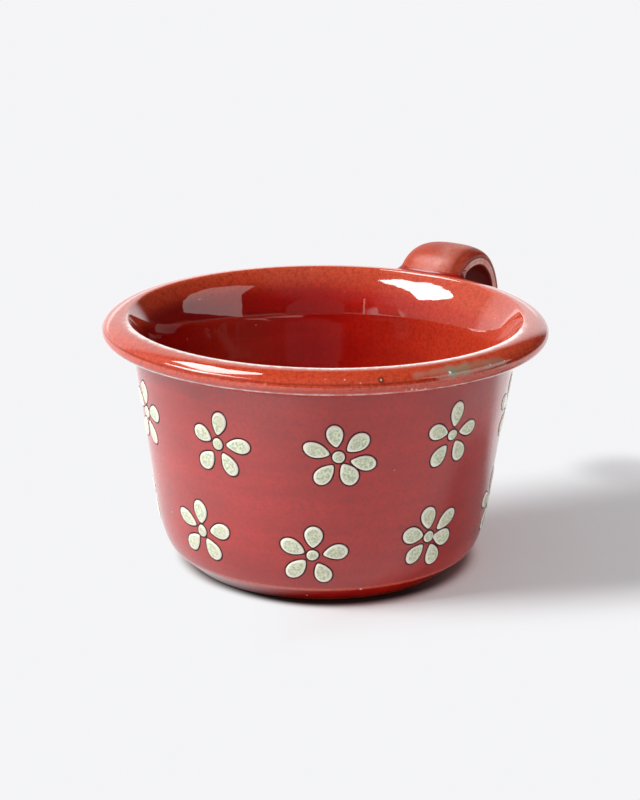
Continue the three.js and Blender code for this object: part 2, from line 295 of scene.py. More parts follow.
class Graph:
    """Adds nodes to a material or to the world and joins them."""

    def __init__(self, owner):
        owner.use_nodes = True
        self.owner = owner
        self.tree = owner.node_tree
        self.tree.nodes.clear()
        self.coordinates = self.node("ShaderNodeTexCoord").outputs
        self.place = self.coordinates["Object"]

    def node(self, kind, inputs=None, **settings):
        node = self.tree.nodes.new(kind)
        for key, value in settings.items():
            setattr(node, key, value)
        for key, value in (inputs or {}).items():
            if isinstance(value, bpy.types.NodeSocket):
                self.tree.links.new(value, node.inputs[key])
            else:
                node.inputs[key].default_value = value
        return node

    def noise(self, millimetres, detail=2.0, roughness=0.5, stretch=None):
        place = self.place
        if stretch:
            place = self.node("ShaderNodeMapping", {"Vector": place, "Scale": stretch}).outputs[0]
        inputs = {"Vector": place, "Scale": 1000 / millimetres, "Detail": detail, "Roughness": roughness}
        return self.node("ShaderNodeTexNoise", inputs).outputs["Fac"]

    def span(self, value, low, high, to_low=0.0, to_high=1.0, soft=True):
        inputs = {"Value": value, "From Min": low, "From Max": high, "To Min": to_low, "To Max": to_high}
        kind = "SMOOTHSTEP" if soft else "LINEAR"
        return self.node("ShaderNodeMapRange", inputs, interpolation_type=kind).outputs[0]

    def fade(self, distance, start, end, to_low=0.0, to_high=1.0):
        """A span whose ends are given in millimetres."""
        return self.span(distance, start * MM, end * MM, to_low, to_high)

    def dots(self, millimetres, chosen_from, outer, inner):
        """Soft round dots in some cells of a random net. The higher chosen_from, the fewer they are."""
        inputs = {"Vector": self.place, "Scale": 1000 / millimetres, "Randomness": 1.0}
        cells = self.node("ShaderNodeTexVoronoi", inputs).outputs
        chosen = self.span(cells["Color"], chosen_from, chosen_from + 0.02)
        return self.times(self.span(cells["Distance"], outer, inner), chosen)

    def math(self, operation, first, second):
        return self.node("ShaderNodeMath", {0: first, 1: second}, operation=operation).outputs[0]

    def plus(self, first, second):
        return self.math("ADD", first, second)

    def minus(self, first, second):
        return self.math("SUBTRACT", first, second)

    def times(self, first, second):
        return self.math("MULTIPLY", first, second)

    def most(self, first, second):
        return self.math("MAXIMUM", first, second)

    def vectors(self, operation, first, second=(0.0, 0.0, 0.0)):
        """The vector that an operation gives, or the number where it measures."""
        measures = operation in ("DISTANCE", "DOT_PRODUCT", "LENGTH")
        node = self.node("ShaderNodeVectorMath", {0: first, 1: second}, operation=operation)
        return node.outputs["Value" if measures else "Vector"]

    def mix(self, share, first, second):
        inputs = {0: share, 6: with_alpha(first), 7: with_alpha(second)}
        return self.node("ShaderNodeMix", inputs, data_type="RGBA").outputs[2]

    def either(self, share, first, second):
        """The first number where share is 0, the second where it is 1."""
        return self.node("ShaderNodeMix", {0: share, 2: first, 3: second}, data_type="FLOAT").outputs[0]

    def near(self, start, run, inner, outer):
        """1 within the inner distance of a streak or dot, 0 beyond the outer one, with a ragged edge."""
        from_start = self.vectors("SUBTRACT", self.place, Vector(start) * MM)
        nearest, rough, grain = (0.0, 0.0, 0.0), 0.5, 0.6
        if run:
            way = Vector(run) * MM
            share = self.vectors("DOT_PRODUCT", from_start, way / way.length_squared)
            nearest = self.vectors("MULTIPLY", way, self.span(share, 0.0, 1.0, soft=False))
            rough, grain = 2.0, 2.2
        distance = self.vectors("DISTANCE", from_start, nearest)
        ragged = self.plus(distance, self.times(self.noise(grain, 4.0, 0.8), rough * MM))
        return self.fade(ragged, outer + rough / 2, inner + rough / 2)

    def attribute(self, name):
        return self.node("ShaderNodeAttribute", attribute_name=name).outputs["Fac"]

    def bump(self, height, millimetres, strength=1.0, normal=None):
        inputs = {"Height": height, "Distance": millimetres * MM, "Strength": strength}
        if normal:
            inputs["Normal"] = normal
        return self.node("ShaderNodeBump", inputs).outputs[0]

    def emission(self, colour, strength):
        return self.node("ShaderNodeEmission", {"Color": (*colour, 1.0), "Strength": strength}).outputs[0]

    def finish(self, surface):
        self.node("ShaderNodeOutputMaterial", {"Surface": surface})
        return self.owner

    def glazed(self, inputs):
        """Finishes with a surface whose only sheen is its clear coat."""
        inputs["Specular IOR Level"] = 0.0
        return self.finish(self.node("ShaderNodeBsdfPrincipled", inputs).outputs[0])


# Glazes. Colours are linear red, green and blue.

COAT_IOR = 1.8
THIN_GLAZE = (0.84, 0.125, 0.045)
POOLED_GLAZE_AND_SHADE = (0.10, 0.004, 0.003)
COARSE_GRAIN = (0.24, 0.007, 0.005)
FINE_GRAIN = (0.27, 0.010, 0.008)
SHEEN_TINT = (0.88, 0.64, 0.56)
HIGHLIGHT_TINT = (1.0, 0.86, 0.80)
PALE_SPECK = (0.75, 0.42, 0.30)
DARK_PIT = (0.12, 0.006, 0.005)
SLIP_GREEN = (0.46, 0.55, 0.36)
SLIP_CREAM = (0.93, 0.98, 0.72)
SLIP_STAIN = (0.66, 0.62, 0.42)
SLIP_BRIM = (1.0, 0.96, 0.82)
OUTLINE_DARK = (0.030, 0.004, 0.003)
OUTLINE_RED = (0.080, 0.008, 0.006)

# Marks on the rim and foot: (place on the body, run of a streak, inner and outer reach, colour, strength)

RIM_AND_FOOT_MARKS = [
    ((-21.6, -31.2, 43.0), (7.4, -3.9, 0.1), 0.0, 1.0, (0.48, 0.20, 0.14), 0.8),
    ((-16.6, -34.0, 42.9), (10.6, -3.8, -0.35), 0.1, 1.5, (0.45, 0.21, 0.14), 0.85),
    ((-15.8, -34.5, 42.9), (2.2, -1.0, 0.0), 0.2, 1.7, (0.36, 0.25, 0.15), 0.75),
    ((-16.1, -34.6, 42.8), None, 0.35, 0.7, (0.22, 0.30, 0.20), 0.9),
    ((-16.6, -34.4, 42.8), None, 0.12, 0.34, (0.85, 0.92, 0.80), 1.0),
    ((-30.1, -23.1, 43.0), None, 0.02, 0.22, (0.80, 0.66, 0.55), 0.9),
    ((-28.9, -25.2, 42.5), None, 0.02, 0.20, (0.70, 0.45, 0.40), 0.8),
    ((-26.4, -27.5, 42.8), None, 0.25, 0.8, (0.10, 0.008, 0.005), 0.8),
    ((-26.4, -27.5, 42.8), None, 0.06, 0.24, (0.72, 0.70, 0.40), 1.0),
    ((-8.7, -37.3, 42.6), None, 0.03, 0.25, (0.85, 0.80, 0.66), 0.9),
    ((-5.2, -38.0, 42.5), None, 0.05, 0.30, (0.90, 0.86, 0.78), 1.0),
    ((-23.6, -30.4, 41.0), None, 0.03, 0.24, (0.85, 0.66, 0.55), 0.9),
    ((-22.8, -31.0, 41.0), None, 0.05, 0.28, (0.88, 0.72, 0.60), 1.0),
    ((-22.1, -31.4, 40.9), None, 0.03, 0.22, (0.85, 0.66, 0.55), 0.9),
    ((-20.8, -32.3, 40.9), None, 0.04, 0.25, (0.88, 0.72, 0.60), 0.9),
    ((-18.4, -33.6, 40.9), None, 0.04, 0.26, (0.85, 0.66, 0.55), 0.9),
    ((-18.8, -19.7, 3.2), None, 0.08, 0.36, (0.90, 0.84, 0.74), 1.0),
    ((-22.7, -11.5, 1.4), None, 0.05, 0.28, (0.60, 0.62, 0.40), 0.9),
]


def glazed_clay(name, deep, bright, gloss=0.03, coat_weight=1.0, marks=()):
    """Red clay under a clear gloss glaze. The attributes of a piece's points say where the glaze is thin and
    turns orange, partly as painted light, where it turns dark as pooled glaze and painted shade, and where
    pale painted sheen and highlights lie."""
    g = Graph(bpy.data.materials.new(name))
    clouds = g.noise(17, 3.0, 0.55)
    streaks = g.noise(8, 3.0, 0.6, stretch=(0.35, 0.35, 2.6))
    grain = g.noise(0.7, 3.0, 0.7)
    fine = g.noise(0.28, 2.0, 0.6)
    pooled_and_shaded = g.attribute("pool_and_shade")
    pits = g.dots(1.7, 0.78, 0.11, 0.03)

    tone = g.plus(g.times(clouds, 0.55), g.times(streaks, 0.45))
    colour = g.mix(g.span(tone, 0.36, 0.66), deep, bright)
    colour = g.mix(g.span(g.attribute("thin"), 0.0, 1.0, 0.0, 0.8), colour, THIN_GLAZE)
    colour = g.mix(g.span(grain, 0.40, 0.72, 0.0, 0.45), colour, COARSE_GRAIN)
    colour = g.mix(g.span(fine, 0.40, 0.68, 0.0, 0.30), colour, FINE_GRAIN)
    # Painted sheen and highlights: pale where the edge attribute says, palest where it is strongest
    painted_sheen = g.times(g.attribute("edge"), g.span(g.noise(2.4, 3.0, 0.7), 0.35, 0.60, 0.35, 0.95))
    colour = g.mix(painted_sheen, colour, g.mix(g.span(painted_sheen, 0.6, 1.0), SHEEN_TINT, HIGHLIGHT_TINT))
    # Dark glaze where it pools, and painted shade in seams, corners, crooks and on the handle's finger side
    colour = g.mix(g.span(pooled_and_shaded, 0.0, 1.0, 0.0, 0.9), colour, POOLED_GLAZE_AND_SHADE)
    colour = g.mix(g.times(g.dots(2.3, 0.80, 0.075, 0.045), 0.7), colour, PALE_SPECK)
    colour = g.mix(g.times(pits, 0.55), colour, DARK_PIT)
    for start, run, inner, outer, tint, strength in marks:
        colour = g.mix(g.times(g.near(start, run, inner, outer), strength), colour, tint)

    ripple = g.plus(g.noise(6, 2.0, 0.5), g.times(streaks, 0.5))
    return g.glazed({
        "Base Color": colour,
        "Roughness": g.span(grain, 0.3, 0.7, 0.34, 0.5, soft=False),
        "Normal": g.bump(g.plus(g.times(grain, 0.6), streaks), 0.05, 0.6),
        "Coat Weight": g.span(pooled_and_shaded, 0.3, 1.0, coat_weight, 0.3 * coat_weight),
        "Coat Roughness": gloss,
        "Coat IOR": COAT_IOR,
        "Coat Normal": g.bump(pits, -0.10, 0.7, g.bump(ripple, 0.05, 0.55)),
    })


def slip(name):
    """Pale slip under the glaze, creamier at the rim of each dab and a greyer green in its middle."""
    g = Graph(bpy.data.materials.new(name))
    mottle = g.noise(0.38, 3.0, 0.7)
    middle = g.mix(g.span(mottle, 0.35, 0.65), SLIP_GREEN, SLIP_CREAM)
    middle = g.mix(g.span(g.noise(3.0), 0.4, 0.7, 0.0, 0.35), middle, SLIP_STAIN)
    return g.glazed({
        "Base Color": g.mix(g.span(g.attribute("brim"), 0.68, 0.84), middle, SLIP_BRIM),
        "Roughness": g.span(mottle, 0.3, 0.7, 0.4, 0.55, soft=False),
        "Normal": g.bump(mottle, 0.05, 0.5),
        "Coat Weight": 1.0,
        "Coat Roughness": 0.05,
        "Coat IOR": COAT_IOR,
    })


def outline_glaze(name):
    """A dark line round each dab of slip."""
    g = Graph(bpy.data.materials.new(name))
    return g.glazed({
        "Base Color": g.mix(g.noise(0.8), OUTLINE_DARK, OUTLINE_RED),
        "Roughness": g.span(g.noise(1.2), 0.3, 0.7, 0.3, 0.4, soft=False),
        "Coat Weight": 0.35,
        "Coat Roughness": 0.05,
    })


clay = glazed_clay("red_clay_glaze", (0.42, 0.005, 0.003), (0.57, 0.011, 0.006), marks=RIM_AND_FOOT_MARKS)
# The handle's glaze: the body's clay painted lighter and more orange as painted light, and less glossy
lit_handle_clay = glazed_clay("red_clay_glaze_handle_lit", (0.44, 0.030, 0.010), (0.58, 0.075, 0.022), 0.32, 0.42)
joint_clay = glazed_clay("red_clay_glaze_joints", (0.42, 0.012, 0.006), (0.50, 0.022, 0.008), 0.2, 0.55)
pale_slip = slip("pale_slip_glaze")
slip_outline = outline_glaze("dark_line_round_slip")


# The body

TURNS = 288
# Bands of its glaze run round it along the profile: (radius, height, width, strength)
THIN_BANDS = [
    # The band at the foot's edge is thin glaze, partly painted light where the paper lights the foot from
    # below
    (FOOT_EDGE_RADIUS, FOOT_EDGE_HEIGHT, 0.45, 0.75),
    (BASE_RADIUS, 0.3, 0.5, 0.6),
    (WALL_TOP_RADIUS + 3.6, RIM_UNDER_HEIGHT + 0.75, 0.35, 0.9),
    (CREST_RADIUS - 0.5, CUP_HEIGHT, 0.9, 0.3),
]
# Painted shade, partly pooled glaze, darkens the seam under the roll
SEAM_POOL_AND_SHADE_BAND = (WALL_TOP_RADIUS, RIM_UNDER_HEIGHT, 0.6, 1.0)
# Painted highlights: a line along the roll's lower edge and a line along the crest
ROLL_HIGHLIGHT_BAND = (WALL_TOP_RADIUS + 4.49, RIM_UNDER_HEIGHT + 1.26, 0.24, 1.0)
CREST_HIGHLIGHT_BAND = (CREST_RADIUS - 0.15, CUP_HEIGHT, 0.62, 3.0)


def band_at(spot, band):
    radius, height, width, strength = band
    return strength * hill((spot - Vector((radius, height))).length, width)


def glaze_at(spot, is_within):
    """How thin the glaze is at a place of the profile, within the cup or outside it, and how dark it is from
    pooling and from painted shade.
    """
    radius, height = spot
    thin = sum(band_at(spot, band) for band in THIN_BANDS)
    pool_and_shade = band_at(spot, SEAM_POOL_AND_SHADE_BAND)
    if is_within:
        # Thin up the flared mouth; pooled glaze and painted shade in the corner round the floor
        thin += 0.7 * smooth(38.6, 43.0, height)
        if radius > 15:
            pool_and_shade += 0.35 * hill(height - FLOOR_THICKNESS - 1, 2.5)
    else:
        # Thin over the roll, partly as painted light, and a painted dark line in the turn just above its
        # widest ring
        thin += 0.7 * smooth(RIM_WIDEST_HEIGHT - 1.2, RIM_WIDEST_HEIGHT + 0.2, height)
        if radius > CREST_RADIUS + 1.5:
            pool_and_shade += 0.55 * hill(height - RIM_WIDEST_HEIGHT - 0.7, 0.18)
    return min(thin, 1.0), min(pool_and_shade, 1.0)


def make_body():
    """The thrown cup. Within, the wall is painted thin and orange towards the camera's right and dark towards
    its left: painted light and painted shade.
    """
    profile = [(spot, False) for spot in OUTER[1:]] + [(spot, True) for spot in INNER[1:-1]]
    points, thin, pool_and_shade, edge = [], [], [], []
    for spot, is_within in profile:
        thin_here, pool_and_shade_here = glaze_at(spot, is_within)
        # Painted highlights on the roll's lower edge, and along the crest only where it faces the camera
        sheen_here, crest_sheen = band_at(spot, ROLL_HIGHLIGHT_BAND), band_at(spot, CREST_HIGHLIGHT_BAND)
        # Painted light and shade within: thin and orange to the camera's right, dark to its left
        run = 0.6 * smooth(43, 40, spot.y) if is_within else 0.0
        for turn in range(TURNS):
            angle = 2 * math.pi * turn / TURNS
            side = math.cos(angle - math.radians(PHOTO_RIGHT))
            facing = smooth(0.1, 0.5, math.cos(angle - math.radians(CAMERA_SIDE)))
            points.append(warped((spot.x * math.cos(angle), spot.x * math.sin(angle), spot.y)))
            thin.append(thin_here + run * max(side, 0.0))
            pool_and_shade.append(pool_and_shade_here + run * max(-side, 0.0))
            edge.append(sheen_here + crest_sheen * facing)
    faces = skin_faces(len(profile), TURNS)
    bottom = len(points)
    top = bottom + 1
    points += [Vector((0, 0, OUTER[0].y)), Vector((0, 0, INNER[-1].y))]
    last = bottom - TURNS
    for turn in range(TURNS):
        after = (turn + 1) % TURNS
        faces.append((after, turn, bottom))
        faces.append((last + turn, last + after, top))
    values = {"thin": thin + [0, 0], "pool_and_shade": pool_and_shade + [0, 0], "edge": edge + [0, 0]}
    return mesh_object("cup_clay_body", points, faces, [clay], values)


add_piece(make_body(), "red_glazed_clay", "cup_body")


# The strap's path: the line that the finger touches, in the plane y = 0

def strap_path():
    down = ROOT_DROP / RIM_TOP_DEPTH
    out = math.sqrt(1 - (1 - down) ** 2) * (RIM_RADIUS - CREST_RADIUS)
    root = Vector((CREST_RADIUS + out, CUP_HEIGHT - ROOT_DROP))
    top = Vector((RIM_RADIUS + ARCH_RUN, CUP_HEIGHT + ARCH_RISE))
    widest = Vector((REACH, REACH_HEIGHT))
    seated = Vector((wall_radius(LOWER_JOINT_HEIGHT), LOWER_JOINT_HEIGHT))
    first = root - turned_by(ROOT_DEPTH, ROOT_RISE)
    last = seated - turned_by(LOWER_DEPTH, LOWER_JOINT_RISE)
    arch = (top - root).length * 0.4
    upper = (widest - top).length
    lower = (widest - seated).length * 0.42
    leaving = root + turned_by(arch, ROOT_RISE)
    arriving = seated + turned_by(lower * 0.9, LOWER_JOINT_RISE)
    line = bezier([first, root], 40)
    line += bezier([root, leaving, top - Vector((arch * 0.6, 0)), top], 200)[1:]
    line += bezier([top, top + Vector((upper * 0.3, 0)), widest + Vector((0, upper * 0.6)), widest], 400)[1:]
    line += bezier([widest, widest - Vector((0, lower)), arriving, seated], 500)[1:]
    line += bezier([seated, last], 40)[1:]
    return line


PATH = strap_path()
REACHED = [0.0]
for before, here in zip(PATH, PATH[1:]):
    REACHED.append(REACHED[-1] + (here - before).length)
STRAP_LENGTH = REACHED[-1]
UPPER_SEAT = ROOT_DEPTH
LOWER_SEAT = STRAP_LENGTH - LOWER_DEPTH


def on_path(distance):
    """The path's point and heading at a distance from its start. The heading is taken over a few points."""
    distance = min(max(distance, 0.0), STRAP_LENGTH)
    low, high = 0, len(PATH) - 2
    while low < high:
        middle = (low + high + 1) // 2
        if REACHED[middle] <= distance:
            low = middle
        else:
            high = middle - 1
    step = PATH[low + 1] - PATH[low]
    point = PATH[low] + step * ((distance - REACHED[low]) / step.length)
    ahead = PATH[min(low + 6, len(PATH) - 1)] - PATH[max(low - 5, 0)]
    return point, ahead.normalized()


def strap_section(half, grow=0.0):
    """Across the width and above the finger side: flat inside, crowned outside, with soft edges."""
    side = half + grow
    corner = STRAP_CORNER + grow
    crown = STRAP_EDGE + STRAP_CROWN - CROWN_START + grow
    steps = 40
    line = arc(-side + corner, -grow + corner, corner, corner, 180, 270, 6)
    line += bezier([line[-1], Vector((side - corner, -grow))], 10)[1:]
    line += arc(side - corner, -grow + corner, corner, corner, 270, 360, 6)[1:]
    line += bezier([line[-1], Vector((side, CROWN_START))], 5)[1:]
    for step in range(1, steps):
        angle = math.pi * step / steps
        across = math.copysign(abs(math.cos(angle)) ** CROWN_SQUARENESS, math.cos(angle))
        above = math.sin(angle) ** CROWN_SQUARENESS
        line.append(Vector((side * across, CROWN_START + crown * above)))
    line += bezier([Vector((-side, CROWN_START)), Vector((-side, corner - grow))], 5)[:-1]
    return line


def strap_half(distance):
    """Half the strap's width, which flares at the wall and wavers a little all the way."""
    share = min(max(1 - (LOWER_SEAT - distance) / LOWER_FLARE_LENGTH, 0.0), 1.0)
    waver = 0.08 * math.sin(distance / 7.0 + 1.0) + 0.05 * math.sin(distance / 3.1)
    return STRAP_WIDTH / 2 + LOWER_FLARE * share * share + waver - 0.05


def strap_ring(distance, grow=0.0):
    """The section at a distance along the path, square to it and grown by a little all round."""
    point, heading = on_path(distance)
    outward = Vector((-heading.y, heading.x))
    ring = []
    for spot in strap_section(strap_half(distance), grow):
        place = point + outward * spot.y
        ring.append(Vector((place.x, spot.x, place.y)))
    return ring


def strap_glaze(spot):
    """How thin the glaze is at a place of the section, where it is dark as pooled glaze and painted shade,
    where painted sheen and highlight lines lie, and how much painted sheen the arch's crown has.
    """
    aside, above = spot
    shoulder = hill(abs(aside) - STRAP_WIDTH / 2 + 0.9, 0.6) * smooth(2.4, 2.8, above)
    face = smooth(0.3, 0.5, above) * smooth(1.45, 1.25, above)
    borders = hill(above - 0.45, 0.15) + hill(above - 1.25, 0.15)
    # Pooled glaze and painted shade: a dark line in the crease above the side face, one side of the crown,
    # and the finger side
    crease = hill(above - 1.62, 0.17)
    shade = 0.5 * hill(aside + STRAP_WIDTH / 2 - 1.2, 0.8) * smooth(1.7, 2.2, above)
    thin = 0.4 * shoulder + 0.8 * face
    pool_and_shade = max(crease, shade, smooth(0.35, 0.1, above))
    # Painted sheen on the side face, painted highlight lines at its borders, and painted sheen on the crown
    painted_sheen = 0.40 * face + 0.45 * borders
    crown_sheen = 0.22 * hill(aside + 2.2, 2.2) * smooth(2.6, 3.2, above)
    return thin, pool_and_shade, painted_sheen, crown_sheen


def make_strap():
    stations = 220
    rings = [strap_ring(STRAP_LENGTH * i / stations) for i in range(stations + 1)]
    count = len(rings[0])
    points = [warped(point) for ring in rings for point in ring]
    faces = skin_faces(len(rings), count)
    faces.append(tuple(reversed(range(count))))
    faces.append(tuple(range(len(points) - count, len(points))))
    thin, pool_and_shade, painted_sheen, crown_sheen = zip(*(strap_glaze(spot) for spot in strap_section(STRAP_WIDTH / 2)))
    # The edge attribute carries the painted sheen, and the crown's painted sheen lies over the arch only
    edge = []
    for station in range(len(rings)):
        arch = smooth(0.50, 0.30, station / stations)
        edge += [side + arch * crown for side, crown in zip(painted_sheen, crown_sheen)]
    values = {"thin": thin * len(rings), "pool_and_shade": pool_and_shade * len(rings), "edge": edge}
    return mesh_object("handle_pulled_strap", points, faces, [lit_handle_clay], values)


add_piece(make_strap(), "red_glazed_clay_handle", "handle_strap")


# The clay worked into the joints. Its lines run from under the strap's skin to under the body's.

JOINT_SKIN = 0.015
UNDER_STRAP = 0.06
ON_BODY = 0.012
UNDER_BODY = 0.05


def leaves_body(index, start, stop):
    """How far along the strap this line of its skin comes out of the body, between two distances."""
    inside, outside = start, stop
    for _ in range(24):
        middle = (inside + outside) / 2
        if is_inside_body(strap_ring(middle)[index]):
            inside = middle
        else:
            outside = middle
    return outside


def make_joint(name, start, stop, climb, spread):
    """A hollow fillet all round the strap. Climb and spread are (at the finger side, at the crown)."""
    steps = 12
    way = 1 if stop > start else -1
    section = strap_section(STRAP_WIDTH / 2)
    columns = []
    for index, spot in enumerate(section):
        upper = smooth(0.1, 0.9, spot.y / (STRAP_EDGE + STRAP_CROWN))
        turn = math.atan2(spot.y - STRAP_EDGE, spot.x)
        uneven = 1 + 0.16 * math.sin(3 * turn + 1) + 0.10 * math.sin(5 * turn + 2.5)
        up = way * uneven * (climb[0] + (climb[1] - climb[0]) * upper)
        out = uneven * (spread[0] + (spread[1] - spread[0]) * upper)
        seat = leaves_body(index, start, stop)
        buried = strap_ring(seat + up * 1.03, -UNDER_STRAP)[index]
        on_strap = strap_ring(seat + up, JOINT_SKIN)[index]
        crook = strap_ring(seat, JOINT_SKIN)[index]
        on_body = to_body(strap_ring(seat, JOINT_SKIN + out)[index], ON_BODY)
        sunk = to_body(strap_ring(seat, JOINT_SKIN + out * 1.05)[index], -UNDER_BODY)
        columns.append([buried] + bezier([on_strap, crook, on_body], steps) + [sunk])
    rings = list(zip(*columns))
    points = [warped(point) for ring in rings for point in ring]
    faces = skin_faces(len(rings), len(section))
    # Pooled glaze and painted shade in the crook of the fillet
    pool_and_shade = []
    for number in range(len(rings)):
        pool_and_shade += [0.55 * hill((number - 1) / steps - 0.5, 0.3)] * len(section)
    return mesh_object(name, points, faces, [joint_clay], {"pool_and_shade": pool_and_shade})


upper_joint = make_joint("upper_joint_clay", 0.0, UPPER_SEAT + 6.0, (2.6, 0.6), (2.2, 0.6))
add_piece(upper_joint, "joint_clay", "upper_joint_roll")
lower_joint = make_joint("lower_joint_clay", STRAP_LENGTH, LOWER_SEAT - 4.0, (2.8, 2.8), (2.2, 2.2))
add_piece(lower_joint, "joint_clay", "lower_joint_collar")


# The daisies. Each petal is (direction in degrees, distance out, length, width).

PETAL_DISTANCE = 3.75
PETAL_LENGTH = 4.15
PETAL_WIDTH = 2.75
EYE_LENGTH = 2.15
EYE_WIDTH = 1.95
DAB_HEIGHT = 0.22
DAB_CORNERS = 32


def petals(directions, distances=None):
    """Petals as the photograph shows them where distances are given, or else a little uneven by chance."""
    made = []
    for i, direction in enumerate(directions):
        distance = distances[i] if distances else PETAL_DISTANCE + rng.uniform(-0.22, 0.22)
        long = PETAL_LENGTH + rng.uniform(-0.3, 0.3) + (distance - PETAL_DISTANCE) * 0.5
        wide = PETAL_WIDTH + rng.uniform(-0.25, 0.2)
        made.append((direction + (0 if distances else rng.uniform(-6, 6)), distance, long, wide))
    return made


FIVE = [84, 8, 301, 229, 157]
SIX = [99, 36, 345, 295, 231, 163]
UPPER_ROW = {
    "name": "upper_flower",
    "height": 28.9,
    "first_angle": 33,
    "step_angle": 36.8,
    "strays": [0.2, -0.4, 0.3, 0.25, -0.2, -0.6, 0.8, 0.2, -0.3],
    "six_petalled": [1, 5],
}
LOWER_ROW = {
    "name": "lower_flower",
    "height": 11.3,
    "first_angle": 50.2,
    "step_angle": 39.8,
    "strays": [-0.3, 0.4, 0.1, 0.2, -1.0, 0.3, 0.5, -0.2],
    "six_petalled": [2, 5],
}
# Daisies at the cup's sides that stand off their row's even steps in the photograph, in degrees
TURNED = {"lower_flower_3": -5.2, "lower_flower_7": 2.6, "upper_flower_8": 2.6}
# Daisies set petal by petal: the six that the photograph shows whole, and the one at its left edge
SEEN = {
    "upper_flower_5": petals([81, 4, 300, 232, 156], [3.73, 3.91, 3.82, 4.07, 3.20]),
    "upper_flower_6": petals([100, 38, 344, 299, 234, 162], [3.74, 3.84, 4.28, 3.52, 3.82, 3.75]),
    "upper_flower_7": petals([83, 6, 301, 233, 161], [3.68, 3.64, 3.67, 4.09, 3.31]),
    "lower_flower_3": petals([108, 36, 324, 252, 180], [3.6, 3.5, 3.6, 3.8, 3.7]),
    "lower_flower_4": petals([89, 12, 305, 226, 156], [3.54, 4.05, 3.60, 3.59, 3.75]),
    "lower_flower_5": petals([87, 9, 297, 224, 157], [3.37, 3.84, 3.73, 3.76, 3.54]),
    "lower_flower_6": petals([98, 34, 346, 290, 227, 165], [3.62, 4.25, 3.11, 3.80, 3.66, 3.33]),
}

# Rings of a dab's slip: (share of its outline, share of its height)
SLIP_RINGS = [(0.25, 1.0), (0.5, 0.99), (0.72, 0.95), (0.86, 0.82), (0.95, 0.5), (1.0, 0.1)]
# Rings of the dark line round it: (distance beyond the outline, height off the wall)
GLAZE_RINGS = [(0.10, 0.035), (0.27, 0.010), (0.31, -0.06)]


def on_wall(degrees, height, u, v, off):
    """The place on the wall beside and above a flower's middle, this far off the skin."""
    angle = math.radians(degrees) + u / outline_at(height)
    z = height + v
    radius = outline_at(z) + off
    return Vector((radius * math.cos(angle), radius * math.sin(angle), z))


def dab_outline(long, wide, pointed, wobble):
    """A petal's outline about its own middle, its blunt end at +x. An eye has pointed = 0."""
    line = []
    for step in range(DAB_CORNERS):
        angle = 2 * math.pi * step / DAB_CORNERS
        along = math.cos(angle)
        across = math.sin(angle) * (1 + pointed * (0.30 * along - 0.16 * along * along))
        uneven = 1 + wobble[0] * math.sin(2 * angle + wobble[2]) + wobble[1] * math.sin(3 * angle + wobble[3])
        line.append(Vector((along * long / 2 * uneven, across * wide / 2 * uneven)))
    return line


def widened(outline, beyond):
    """The outline moved out from its middle by this much."""
    return [spot + spot.normalized() * beyond for spot in outline]


def make_flower(name, degrees, height, parts):
    """A daisy of slip dabs, the eye first, each with a dark line round it."""
    eye = (0.0, 0.0, EYE_LENGTH + rng.uniform(-0.2, 0.25), EYE_WIDTH + rng.uniform(-0.15, 0.2))
    dabs = [(*eye, 0.0, rng.uniform(0, 90))]
    dabs += [(*petal, 1.0, rng.uniform(-4, 4)) for petal in parts]
    points, faces, groups, brim = [], [], [], []
    for direction, distance, long, wide, pointed, twist in dabs:
        wobble = [rng.uniform(0, 0.03), rng.uniform(0, 0.025), rng.uniform(0, 6), rng.uniform(0, 6)]
        outline = dab_outline(long, wide, pointed, wobble)
        middle = turned_by(distance, direction)
        turn = Matrix.Rotation(math.radians(direction + twist), 2)
        tall = DAB_HEIGHT + rng.uniform(-0.03, 0.03)
        rings = [([spot * share for spot in outline], tall * rise, share) for share, rise in SLIP_RINGS]
        rings += [(widened(outline, beyond), off, 1.0) for beyond, off in GLAZE_RINGS]
        start = len(points)
        for ring, off, share in rings:
            for spot in ring:
                flat = middle + turn @ spot
                points.append(warped(on_wall(degrees, height, flat.x, flat.y, off)))
                brim.append(share)
        slip_corners = DAB_CORNERS * (len(SLIP_RINGS) - 1)
        for face in skin_faces(len(rings), DAB_CORNERS) + [range(DAB_CORNERS)]:
            faces.append(tuple(start + corner for corner in face))
            groups.append(0 if min(face) < slip_corners else 1)
    return mesh_object(name + "_slip", points, faces, [pale_slip, slip_outline], {"brim": brim}, groups)


def make_row(row):
    for i, stray in enumerate(row["strays"]):
        name = f"{row['name']}_{i + 1}"
        angle = row["first_angle"] + row["step_angle"] * i + TURNED.get(name, 0.0)
        parts = SEEN.get(name) or petals(SIX if i in row["six_petalled"] else FIVE)
        add_piece(make_flower(name, angle, row["height"] + stray, parts), "pale_slip", name)


make_row(UPPER_ROW)
make_row(LOWER_ROW)


# Floor, light and camera

HEADING = math.radians(LOOKS_TOWARDS)
RIGHT = Vector((math.sin(HEADING), -math.cos(HEADING), 0))
AWAY = Vector((math.cos(HEADING), math.sin(HEADING), 0))
UP = Vector((0, 0, 1))
MIDDLE = Vector((0, 0, 28.0)) * MM


def towards(round_degrees, up_degrees):
    """A direction as the camera sees it: 0 is away from it, 90 its right, -90 its left."""
    turn, rise = math.radians(round_degrees), math.radians(up_degrees)
    level = RIGHT * math.sin(turn) + AWAY * math.cos(turn)
    return level * math.cos(rise) + UP * math.sin(rise)


# The key light, in metres. The glaze mirrors the windows below instead of it.

KEY_DIRECTION = towards(-104, 42)
KEY_DISTANCE = 2.6
KEY_WIDTH = 1.1
KEY_HEIGHT = 0.9
KEY_RADIANCE = 19.4


